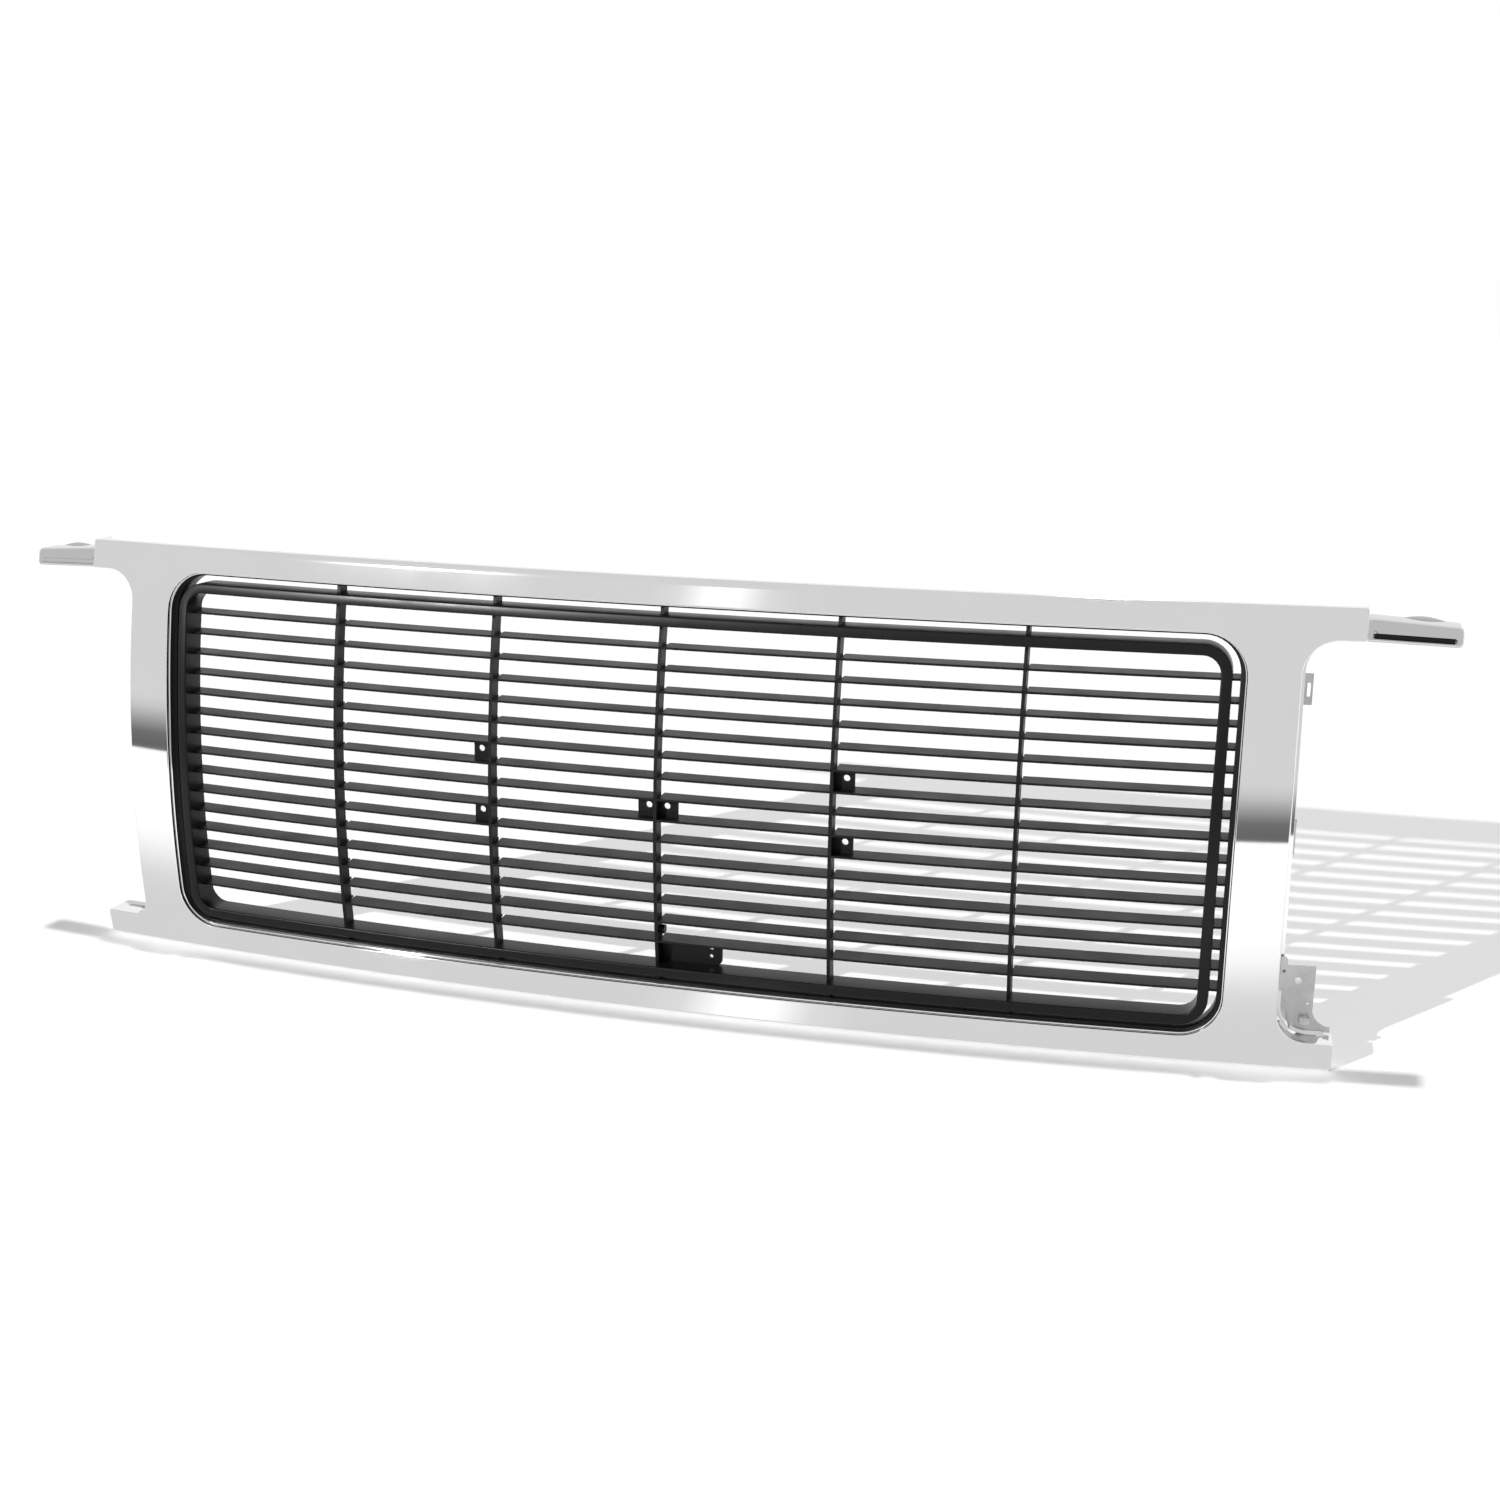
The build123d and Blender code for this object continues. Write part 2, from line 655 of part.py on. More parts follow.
def side_tab():
    """Small chamfered tab with a hole, standing out from the column's side ahead of the rim."""
    (x0, x1), (z0, z1) = SIDE_TAB_X, SIDE_TAB_Z
    outline = polygon(
        (x0, z0), (x0 + SKIN, z0), (x1, z0 + SIDE_TAB_CHAMFER), (x1, z1 - SKIN), (x1 - SKIN, z1), (x0, z1)
    )
    sheet = shaped(outline, SIDE_TAB_DEPTH, SIDE_TAB_DEPTH + PLATE_THICKNESS)
    x, z = SIDE_TAB_HOLE
    with BuildPart() as tab:
        add(sheet)
        with Locations(Plane((x, skin_y(x, z, SIDE_TAB_DEPTH), z), z_dir=(0, 1, 0))):
            Cylinder(SIDE_TAB_HOLE_RADIUS, 8 * PLATE_THICKNESS, mode=Mode.SUBTRACT)
    return tab


def mirrored(block):
    """The left-hand twin of a right-hand piece."""
    with BuildPart() as twin:
        mirror(block.part, about=Plane.YZ)
    return twin


def screws(spots, hole_depth, thickness):
    """Pan-head screws on the axes of the holes at a depth, seated on a plate of this thickness."""
    with BuildPart() as group:
        for x, z in spots:
            hole = rear_plane(x, z, hole_depth)
            with Locations(hole.offset(thickness * hole.z_dir.Y + SEAT_GAP)):
                Cylinder(SCREW_HEAD_RADIUS, SCREW_HEAD_HEIGHT, align=(Align.CENTER, Align.CENTER, Align.MIN))
                Cylinder(SCREW_RADIUS, SCREW_LENGTH, align=(Align.CENTER, Align.CENTER, Align.MAX))
    return group


def spring_nuts():
    """Clip nuts on the rear of the lower brackets, round each vehicle hole."""
    with BuildPart() as group:
        for side, (x, z) in ((-1, LEFT_VEHICLE_HOLE), (1, VEHICLE_HOLE)):
            seat = rear_plane(side * x, z, SHELL_REAR + PLATE_THICKNESS + NUT_GAP)
            with Locations(seat):
                Box(NUT_SIZE, NUT_SIZE, NUT_THICKNESS, align=(Align.CENTER, Align.CENTER, Align.MIN))
                Cylinder(NUT_NECK_RADIUS, NUT_NECK, align=(Align.CENTER, Align.CENTER, Align.MIN))
                Cylinder(NUT_HOLE_RADIUS, 4 * NUT_NECK, mode=Mode.SUBTRACT)
    return group


def foot_clip():
    """Spring clip at the foot of the right lower bracket, in front of the plate."""
    with BuildPart() as clip:
        with Locations(rear_plane(*FOOT_CLIP, SHELL_REAR - NUT_GAP)):
            Box(CLIP_WIDTH, CLIP_HEIGHT, CLIP_DEPTH, align=(Align.CENTER, Align.CENTER, Align.MAX))
    return clip


def build_all():
    """Every piece under its node name."""
    pieces = {"chrome_shell": chrome_shell()}
    for make in (side_extension, upper_bracket, middle_bracket, side_tab):
        right = make()
        pieces[f"right_{make.__name__}"] = right
        pieces[f"left_{make.__name__}"] = mirrored(right)
    pieces["right_lower_bracket"] = lower_bracket()
    pieces["left_lower_bracket"] = mirrored(narrow_lower_bracket())
    pieces["insert_frame"] = insert_frame()
    pieces["floating_ring"] = floating_ring()
    heights = slat_heights()
    for number, z in enumerate(heights, 1):
        pieces[f"slat_{number:02d}"] = slat(z)
    for number, x in enumerate(rib_positions(), 1):
        pieces[f"rib_{number}"] = rib(x)
    upper, centre, lower = heights[6], heights[8], heights[9]
    pieces["left_emblem_tabs"] = emblem_tabs([(-RIB_SPACING, -1, upper), (-RIB_SPACING, -1, lower)])
    pieces["centre_emblem_tabs"] = emblem_tabs([(0, -1, centre), (0, 1, centre)])
    pieces["right_emblem_tabs"] = emblem_tabs([(RIB_SPACING, 1, upper), (RIB_SPACING, 1, lower)])
    pieces["lower_centre_bracket"] = lower_centre_bracket()
    pieces["bracket_boss"] = bracket_boss()
    pieces["insert_screws"] = screws(insert_screw_spots(), FLANGE_FRONT, FLANGE_THICKNESS)
    pieces["bracket_screws"] = screws(both_sides(SIDE_SCREWS), SHELL_REAR, PLATE_THICKNESS)
    pieces["side_extension_screws"] = screws(both_sides(EAR_SCREWS), EAR_FRONT, SKIN)
    pieces["spring_nuts"] = spring_nuts()
    pieces["foot_clip"] = foot_clip()
    return pieces


os.makedirs("parts", exist_ok=True)
for label, piece in build_all().items():
    save(piece, label)
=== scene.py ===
"""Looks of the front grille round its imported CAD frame: plated shell and wings, black louvred insert.

Shapes are worked out in millimetres and become metres where a mesh is made. A "depth" is a distance
behind the slat fronts along the grille's curved skin, as in the CAD part.
"""

from math import atan2, ceil, cos, hypot, pi, radians, sin, sqrt, tan

import bmesh
import bpy
from mathutils import Matrix, Vector
from mathutils.geometry import delaunay_2d_cdt


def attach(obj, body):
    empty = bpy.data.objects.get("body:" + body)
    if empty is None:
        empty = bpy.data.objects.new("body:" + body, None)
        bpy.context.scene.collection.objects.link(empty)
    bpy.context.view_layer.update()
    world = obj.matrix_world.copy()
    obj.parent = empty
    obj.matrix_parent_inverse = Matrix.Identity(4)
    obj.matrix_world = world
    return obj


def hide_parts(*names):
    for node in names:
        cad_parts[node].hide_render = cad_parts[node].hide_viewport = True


MM = 0.001

# The skin, as in the CAD part
PLAN_RADIUS = 4743.0
BULGE_RADIUS = 1024.0
BULGE_APEX_Z = 193.0
SKIN_Y = -19.5
MID_Z = 215.7
AXIS_Y = SKIN_Y + PLAN_RADIUS

# Shell
HEIGHT = 431.0
TOP_ARM_X = 640.0
BOTTOM_ARM_X = 642.0
TOP_ARM_UNDER_Z = 401.5
BOTTOM_ARM_TOP_Z = 27.5
COLUMN_TOP_X = 587.0
COLUMN_BOTTOM_X = 590.0
TOP_FILLET = 31.0
BOTTOM_FILLET_RIGHT = 29.0
BOTTOM_FILLET_LEFT = 18.0
ARM_CORNER = 2.2
OPENING_X = 541.0
OPENING_Z = 189.0
OPENING_CORNER = 40.0
SHELL_FRONT = -12.7
SHELL_REAR = 15.3
TOP_RETURN_DEPTH = 8.0
FLANGE_FRONT = -1.7
SKIN = 2.5
RIM_WIDTH = 3.5
EDGE = 1.3
CROWN_HEIGHT = 8.0
CROWN_DEPTH = 2.2
BEAD = 1.3
BEAD_DEPTH = 5.0
FACE_GRID = (12.0, 9.0)
GRID_SHIFT = 0.37
FRONT_GRID_MARGIN = 4.0
REAR_GRID_MARGIN = 8.0
RIM_FREE_END = 6.0
RIM_EDGE_SHARE = 0.92
RIM_ROOT_SHARE = 0.12
TOUCH = 0.1

# Small easings behind the visible edges
FINE_EASE = 0.3
RIM_EASE = 0.4
BLACK_EASE = 0.5

# Bosses behind the shell
BOSS_RADIUS = 4.0
BOSS_BORE = 1.5
BOSS_BORE_DEPTH = 7.6
BOSS_SIDES = 20
BORE_EASE = 0.2
INSERT_SCREW_OFFSET = 9
INSERT_SCREW_X = (-400, -240, -80, 80, 240, 400)
INSERT_SCREW_RISES = (-70, 70)
BRACKET_SCREW_X = 572
BRACKET_SCREW_Z = (50, 85, 220, 346, 362)

# Insert
FRAME_X = 535.0
FRAME_Z = 185.5
FRAME_CORNER = 34.0
FRAME_WALL = 2.5
FLANGE_THICKNESS = 3.0
FLANGE_WIDTH = 20.0
FRAME_REAR = 20.0
RING_X = 528.0
RING_Z = 178.3
RING_CORNER = 27.0
RING_WIDTH = 10.0
RING_FRONT = -11.4
RING_DEPTH = 29.0
RING_EDGE = 1.5
WALL_FILLET = 1.0

# Side extensions
EAR_FRONT = -4.7
EAR_DEPTH = 30.0
EAR_ROOT_X = 640.5
EAR_TIP_X = 722.0
EAR_ROOT_Z = (400.5, 421.0)
EAR_TIP_Z = (397.5, 415.4)
EAR_EDGE = 3.2
GROOVE_INSET = 5.0
GROOVE_Z = (3.6, 7.6)
GROOVE_DEPTH = 2.0
GROOVE_SLOPE = 0.4
GROOVE_LIP = 0.5
GROOVE_SHOULDER = 0.3
# Section faces inside the groove; on the right wing they carry the painted shade.
GROOVE_SIDES = range(7, 12)
GROOVE_RAMP = 0.8
GROOVE_TIP_GAP = 2.0
TIP_ROUND = 5.0
TIP_PINCH = 0.75
TIP_FALL = 0.8
TIP_STEPS = 6
WING_STEPS = 12
TONGUE_X = (602.0, 640.0)
TONGUE_Z = (408.0, 419.5)
FLANGE_SPAN = (664.0, 715.0)
FLANGE_RISE = 3.6
FLANGE_SINK = 1.0
FLANGE_STEPS = 14
FLANGE_FOOT = (4.0, 6.0)
PLATE_EASE = 0.4
HOLLOW_END = 0.1

# Eased edges of the CAD nodes
SLAT_BEVEL = 0.35
SMALL_BEVEL = 0.3
BRACKET_BEVEL = 0.4

# Studio, in metres. Stops are (place, level) pairs across a card.
DARK_STOPS = [(0.0, 0.12), (0.16, 0.17), (0.265, 0.36), (0.375, 0.60), (0.47, 0.70), (1.0, 0.70)]
DARK_LINE = ((-3, -0.635), (3, -1.178))
DARK_HEIGHT = 0.40
PALE_STOPS = [
    (0.0, 0.95),
    (0.74, 0.95),
    (0.81, 0.85),
    (0.857, 0.70),
    (0.88, 0.635),
    (0.905, 0.60),
    (0.93, 0.585),
]
PALE_STRENGTH = 1.2
PALE_REACH = (-1.2, 0.06)
PALE_LIFT = 0.002
CARD_HALF_WIDTH = 3
STREAK_STOPS = [(0.0, 0.60), (0.2, 0.66), (0.42, 1.0), (0.58, 1.0), (0.8, 0.66), (1.0, 0.60)]
STREAK_STRENGTH = 1.18
TOP_STREAK_X = (-1.05, -0.45)
TOP_STREAK_Y = -3
TOP_STREAK_Z = (0.95, 1.55)
LOW_STREAK_X = (-0.02, 0.20)
LOW_STREAK_Y = (-0.10, 0.0)
LOW_STREAK_LIFT = 0.003
SKY_STOPS = [(0.0, 0.70), (0.1, 0.95)]
FILL_LEVEL = 0.20
KEY_SUN = (3.1, 0.5, (0.545, 0.839, -0.356))
OVERHEAD_SUN = (1.85, 2.0, (0.0, -0.09, -1.0))
FLOOR_HALF_WIDTH = 30
FLOOR_FAR_Y = 60
QUAD = [(0, 1, 2, 3)]

# Camera, in metres and radians
CAMERA_PLACE = (0.5513, -1.6835, 0.6800)
CAMERA_SWING = 0.26803
CAMERA_DIP = 0.23144
CAMERA_ROLL = 0.016292
CAMERA_SENSOR = 36
CAMERA_LENS = 45.2
CAMERA_REACH = 200

# Which nodes are which
SIDES = ("left", "right")
BRACKET_KINDS = ("upper_bracket", "middle_bracket", "lower_bracket", "side_tab")
TABS = ["left_emblem_tabs", "centre_emblem_tabs", "right_emblem_tabs", "lower_centre_bracket", "bracket_boss"]
STEEL = ["insert_screws", "bracket_screws", "side_extension_screws", "spring_nuts", "foot_clip"]


# ---------------------------------------------------------------- shapes on the skin


def bulge(z):
    """How far the skin falls back at this height, on the centreline."""
    return ((z - BULGE_APEX_Z) ** 2 - (MID_Z - BULGE_APEX_Z) ** 2) / (2 * BULGE_RADIUS)


def on_skin(x, z, depth):
    """Point on the skin, depth behind the slat fronts."""
    return Vector((x, AXIS_Y - sqrt((PLAN_RADIUS - bulge(z) - depth) ** 2 - x**2), z))


def skin_normal(x, z):
    """Direction square to the skin, towards the front."""
    return Vector((x / PLAN_RADIUS, -1, (z - BULGE_APEX_Z) / BULGE_RADIUS)).normalized()


def outline(corners, inset=0.0, step=12.0, arc=10):
    """Closed counter-clockwise outline moved inwards. A corner is (x, z, radius)."""
    count = len(corners)
    edges = []
    for i, (x, z, _) in enumerate(corners):
        next_x, next_z, _ = corners[(i + 1) % count]
        length = hypot(next_x - x, next_z - z)
        edges.append(((next_x - x) / length, (next_z - z) / length, length))
    arcs = []
    for i, (x, z, radius) in enumerate(corners):
        (ux, uz, _), (vx, vz, _) = edges[i - 1], edges[i]
        turn = atan2(ux * vz - uz * vx, ux * vx + uz * vz)
        shift = inset / (1 + ux * vx + uz * vz)
        moved_x = x - (uz + vz) * shift
        moved_z = z + (ux + vx) * shift
        side = 1 if turn > 0 else -1
        round_radius = max(radius - side * inset, 0.05)
        reach = round_radius * tan(abs(turn) / 2)
        start = Vector((moved_x - ux * reach, moved_z - uz * reach))
        centre = start + side * round_radius * Vector((-uz, ux))
        spoke = start - centre
        spokes = [Matrix.Rotation(turn * k / arc, 2) @ spoke for k in range(arc + 1)]
        arcs.append([centre + s for s in spokes])
    points = []
    for i, corner in enumerate(arcs):
        points += corner
        ahead = arcs[(i + 1) % count][0]
        parts = max(1, ceil(edges[i][2] / step))
        points += [corner[-1].lerp(ahead, k / parts) for k in range(1, parts)]
    return points


def rectangle(half_x, half_z, corner):
    """Corners of a rounded rectangle about the middle of the opening."""
    return [
        (-half_x, MID_Z - half_z, corner),
        (half_x, MID_Z - half_z, corner),
        (half_x, MID_Z + half_z, corner),
        (-half_x, MID_Z + half_z, corner),
    ]


def shell_corners():
    """Corners of the shell's face: two bars with arms and two columns."""
    low = [
        (-BOTTOM_ARM_X, 0, ARM_CORNER),
        (BOTTOM_ARM_X, 0, ARM_CORNER),
        (BOTTOM_ARM_X, BOTTOM_ARM_TOP_Z, ARM_CORNER),
        (COLUMN_BOTTOM_X, BOTTOM_ARM_TOP_Z, BOTTOM_FILLET_RIGHT),
    ]
    high = [
        (COLUMN_TOP_X, TOP_ARM_UNDER_Z, TOP_FILLET),
        (TOP_ARM_X, TOP_ARM_UNDER_Z, ARM_CORNER),
        (TOP_ARM_X, HEIGHT, ARM_CORNER),
        (-TOP_ARM_X, HEIGHT, ARM_CORNER),
        (-TOP_ARM_X, TOP_ARM_UNDER_Z, ARM_CORNER),
        (-COLUMN_TOP_X, TOP_ARM_UNDER_Z, TOP_FILLET),
    ]
    left_foot = [
        (-COLUMN_BOTTOM_X, BOTTOM_ARM_TOP_Z, BOTTOM_FILLET_LEFT),
        (-BOTTOM_ARM_X, BOTTOM_ARM_TOP_Z, ARM_CORNER),
    ]
    return low + high + left_foot


def inside(point, loop):
    """Whether a flat point lies in a closed outline."""
    x, z = point
    hit = False
    for (x0, z0), (x1, z1) in zip(loop, loop[1:] + loop[:1]):
        if (z0 > z) != (z1 > z) and x < x0 + (z - z0) * (x1 - x0) / (z1 - z0):
            hit = not hit
    return hit


class Shape:
    """A mesh being put together, in millimetres."""

    def __init__(self):
        self.points = []
        self.faces = []
        self.normals = {}

    def ring(self, points):
        first = len(self.points)
        self.points += points
        return list(range(first, len(self.points)))

    def skin_ring(self, flat, depth):
        """Ring on the skin; depth is one number or one for each point."""
        depths = depth if isinstance(depth, list) else [depth] * len(flat)
        return self.ring([on_skin(x, z, d) for (x, z), d in zip(flat, depths)])

    def bridge(self, one, other, closed=True):
        count = len(one)
        for i in range(count if closed else count - 1):
            j = (i + 1) % count
            self.faces.append((one[i], one[j], other[j], other[i]))

    def tube(self, rings, closed=False):
        """Skin over rings in order."""
        for one, other in zip(rings, rings[1:]):
            self.bridge(one, other)
        if closed:
            self.bridge(rings[-1], rings[0])

    def fill(self, loops, depth, grid=(), exact=False):
        """Triangles between outlines, each a (flat points, vertex numbers) pair, with points of a grid."""
        flat = [p for points, _ in loops for p in points]
        numbers = [n for _, ring in loops for n in ring]
        edges = []
        for points, _ in loops:
            first = len(edges)
            edges += [(first + i, first + (i + 1) % len(points)) for i in range(len(points))]
        extra = self.skin_ring([Vector(p) for p in grid], depth)
        numbers += extra
        flat += [Vector(p) for p in grid]
        result = delaunay_2d_cdt(flat, edges, [], 1, 1e-5)
        origin = [numbers[ids[0]] for ids in result[3]]
        holes = [[tuple(p) for p in points] for points, _ in loops[1:]]
        for face in result[2]:
            middle = sum((result[0][i] for i in face), Vector((0, 0))) / len(face)
            if not any(inside(middle, hole) for hole in holes):
                self.faces.append(tuple(origin[i] for i in face))
        if exact:
            for number in numbers:
                x, _, z = self.points[number]
                self.normals[number] = skin_normal(x, z)

    def loft(self, sections):
        """Skin over closed sections, with the first and the last filled."""
        rings = [self.ring(section) for section in sections]
        self.tube(rings)
        self.faces.append(tuple(rings[0]))
        self.faces.append(tuple(reversed(rings[-1])))

    def build(self, name, node, material, sharp=35.0):
        """Object that rides on the root body and stands for a CAD node."""
        mesh = bpy.data.meshes.new(name)
        mesh.from_pydata([p * MM for p in self.points], [], self.faces)
        soft = bmesh.new()
        soft.from_mesh(mesh)
        bmesh.ops.recalc_face_normals(soft, faces=soft.faces)
        soft.to_mesh(mesh)
        soft.free()
        mesh.shade_smooth()
        mesh.set_sharp_from_angle(angle=radians(sharp))
        if self.normals:
            unset = Vector((0, 0, 0))
            chosen = [self.normals.get(loop.vertex_index, unset) for loop in mesh.loops]
            mesh.normals_split_custom_set(chosen)
        piece = bpy.data.objects.new(name, mesh)
        bpy.context.scene.collection.objects.link(piece)
        mesh.materials.append(material)
        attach(piece, "root")
        if node:
            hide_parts(node)
        return piece


def quarter(steps):
    """(1 - cos, 1 - sin) over a quarter turn, from the side wall to the face."""
    angles = [pi / 2 * k / steps for k in range(steps + 1)]
    return [(1 - cos(a), 1 - sin(a)) for a in angles]


# ---------------------------------------------------------------- shell


def shell_outer_rings(shape, corners):
    """Outer return of the shell, from its inner face round the rear rim to the rounded front edge."""
    base = outline(corners)

    def on_top(point):
        return min(max((point[1] - HEIGHT + 2 * ARM_CORNER / 3) / (ARM_CORNER / 2), 0), 1)

    def ring(inset, depth, crown=(0.0, 0.0)):
        flat = outline(corners, inset)
        lowered = [Vector((x, z - crown[0] * on_top(b))) for (x, z), b in zip(flat, base)]
        depths = [depth + crown[1] * on_top(b) for b in base]
        return lowered, shape.skin_ring(lowered, depths)

    def rear(point):
        return SHELL_FRONT + TOP_RETURN_DEPTH if point[1] > HEIGHT - TOUCH else SHELL_REAR

    def flared(point):
        under_arm = point[1] < TOP_ARM_UNDER_Z + TOUCH
        over_foot = point[1] > BOTTOM_ARM_TOP_Z - TOUCH
        on_column = under_arm and over_foot and abs(point[0]) < TOP_ARM_X - RIM_FREE_END
        return 1.0 if on_column else 0.0

    def rear_ring(inset, lift):
        flat = outline(corners, inset)
        return shape.skin_ring(flat, [rear(b) - lift for b in base])

    def rim_ring(share, lift):
        grown = outline(corners, -RIM_WIDTH)
        flat = [p.lerp(g, share * flared(p)) for p, g in zip(base, grown)]
        return shape.skin_ring(flat, [rear(b) - lift for b in base])

    inner_flat, inner = ring(SKIN + RIM_EASE, SHELL_FRONT + SKIN, (0.0, CROWN_DEPTH / 2))
    rings = [inner, rear_ring(SKIN, FINE_EASE), rear_ring(SKIN - FINE_EASE, 0.0)]
    rings += [rim_ring(RIM_EDGE_SHARE, 0.0), rim_ring(1.0, RIM_EASE)]
    rings += [rim_ring(1.0, SKIN - RIM_EASE), rim_ring(RIM_EDGE_SHARE, SKIN)]
    rings += [rim_ring(RIM_ROOT_SHARE, SKIN), rim_ring(0.0, SKIN + BLACK_EASE)]
    face_flat, face = None, None
    for across, back in quarter(6):
        crown = ((CROWN_HEIGHT - EDGE) * across, (CROWN_DEPTH - EDGE) * back)
        face_flat, face = ring(EDGE * across, SHELL_FRONT + EDGE * back, crown)
        rings.append(face)
    shape.tube(rings)
    return (inner_flat, inner), (face_flat, face)


def shell_opening_rings(shape, corners):
    """Return round the opening: rounded edge, a beaded step and the rear edge behind it."""
    rings = []
    face_flat, face = None, None
    for across, back in reversed(quarter(5)):
        flat = outline(corners, -EDGE * across)
        rings.append(shape.skin_ring(flat, SHELL_FRONT + EDGE * back))
        if face is None:
            face_flat, face = flat, rings[0]
    bead_front = SHELL_FRONT + BEAD_DEPTH
    rings.append(shape.skin_ring(outline(corners), bead_front - BEAD))
    for across, back in quarter(4)[1:]:
        rings.append(shape.skin_ring(outline(corners, BEAD * across), bead_front - BEAD * back))
    rings.append(shape.skin_ring(outline(corners, BEAD), bead_front + BLACK_EASE))
    rings.append(shape.skin_ring(outline(corners, BEAD), FLANGE_FRONT - FINE_EASE))
    rings.append(shape.skin_ring(outline(corners, BEAD - FINE_EASE), FLANGE_FRONT))
    rings.append(shape.skin_ring(outline(corners, FINE_EASE - 2 * SKIN), FLANGE_FRONT))
    inner_flat = outline(corners, -2 * SKIN)
    rings.append(shape.skin_ring(inner_flat, FLANGE_FRONT - FINE_EASE))
    rings.append(shape.skin_ring(inner_flat, SHELL_FRONT + SKIN))
    shape.tube(rings)
    return (inner_flat, rings[-1]), (face_flat, face)


def face_grid(outer, opening, margin):
    """Points of a grid inside the shell's face, clear of its edges."""
    keep_in = [tuple(p) for p in outline(outer, EDGE + margin)]
    keep_out = [tuple(p) for p in outline(opening, -EDGE - margin)]
    step_x, step_z = FACE_GRID
    spots = []
    columns = ceil(BOTTOM_ARM_X / step_x) + 1
    for i in range(-columns, columns + 1):
        for j in range(1, ceil(HEIGHT / step_z)):
            spot = (i * step_x + GRID_SHIFT * (j % 2) * step_x, j * step_z)
            if spot[1] > HEIGHT - CROWN_HEIGHT - margin:
                continue
            if inside(spot, keep_in) and not inside(spot, keep_out):
                spots.append(spot)
    return spots


def screw_boss(shape, x, z, rear):
    """Hollow round boss behind the face."""
    normal = skin_normal(x, z)
    seat = on_skin(x, z, rear)
    across = Vector((1, 0, 0)).cross(normal).normalized()
    up = normal.cross(across)

    def circle(r, ahead):
        angles = [2 * pi * k / BOSS_SIDES for k in range(BOSS_SIDES)]
        return shape.ring([seat + normal * ahead + across * r * cos(a) + up * r * sin(a) for a in angles])

    length = rear - SHELL_FRONT - SKIN / 2
    rings = [circle(BOSS_RADIUS, length), circle(BOSS_RADIUS, FINE_EASE), circle(BOSS_RADIUS - FINE_EASE, 0)]
    rings += [circle(BOSS_BORE + BORE_EASE, 0), circle(BOSS_BORE, BORE_EASE)]
    rings += [circle(BOSS_BORE, BOSS_BORE_DEPTH)]
    shape.tube(rings)
    shape.faces.append(tuple(rings[0]))
    shape.faces.append(tuple(reversed(rings[-1])))


def insert_screw_spots():
    """Where the insert's screws stand, all round the opening."""
    out_x = OPENING_X + INSERT_SCREW_OFFSET
    out_z = OPENING_Z + INSERT_SCREW_OFFSET
    spots = [(x, MID_Z + side * out_z) for side in (-1, 1) for x in INSERT_SCREW_X]
    return spots + [(side * out_x, MID_Z + rise) for side in (-1, 1) for rise in INSERT_SCREW_RISES]


def chrome_shell(material):
    shape = Shape()
    outer = shell_corners()
    opening = rectangle(OPENING_X, OPENING_Z, OPENING_CORNER)
    outer_inner, outer_face = shell_outer_rings(shape, outer)
    open_inner, open_face = shell_opening_rings(shape, opening)
    front_grid = face_grid(outer, opening, FRONT_GRID_MARGIN)
    shape.fill([outer_face, open_face], SHELL_FRONT, front_grid, exact=True)
    rear_grid = face_grid(outer, opening, REAR_GRID_MARGIN)
    shape.fill([outer_inner, open_inner], SHELL_FRONT + SKIN, rear_grid)
    for x, z in insert_screw_spots():
        screw_boss(shape, x, z, FLANGE_FRONT)
    for z in BRACKET_SCREW_Z:
        for side in (-1, 1):
            screw_boss(shape, side * BRACKET_SCREW_X, z, SHELL_REAR)
    return shape.build("chrome_shell_plating", "chrome_shell", material)


# ---------------------------------------------------------------- insert


def loop_piece(name, node, corners, profile, material):
    """Closed profile of (inset, depth) points run round an outline."""
    shape = Shape()
    rings = [shape.skin_ring(outline(corners, inset), depth) for inset, depth in profile]
    shape.tube(rings, closed=True)
    return shape.build(name, node, material)


def insert_frame(material):
    """L-shaped black frame: flange behind the shell and wall inside its opening."""
    e = BLACK_EASE
    back = FLANGE_FRONT + FLANGE_THICKNESS
    profile = [(0, FLANGE_FRONT + e), (-e / 3, FLANGE_FRONT + e / 3), (-e, FLANGE_FRONT)]
    profile += [(-FLANGE_WIDTH + e, FLANGE_FRONT), (-FLANGE_WIDTH, FLANGE_FRONT + e)]
    profile += [(-FLANGE_WIDTH, back - e), (-FLANGE_WIDTH + e, back)]
    profile += [(-FRAME_WALL - WALL_FILLET, back), (-FRAME_WALL - FINE_EASE, back + FINE_EASE)]
    profile += [(-FRAME_WALL, back + WALL_FILLET)]
    profile += [(-FRAME_WALL, FRAME_REAR - e), (-FRAME_WALL + e, FRAME_REAR), (-e, FRAME_REAR)]
    profile += [(0, FRAME_REAR - e)]
    corners = rectangle(FRAME_X, FRAME_Z, FRAME_CORNER)
    return loop_piece("insert_frame_moulding", "insert_frame", corners, profile, material)


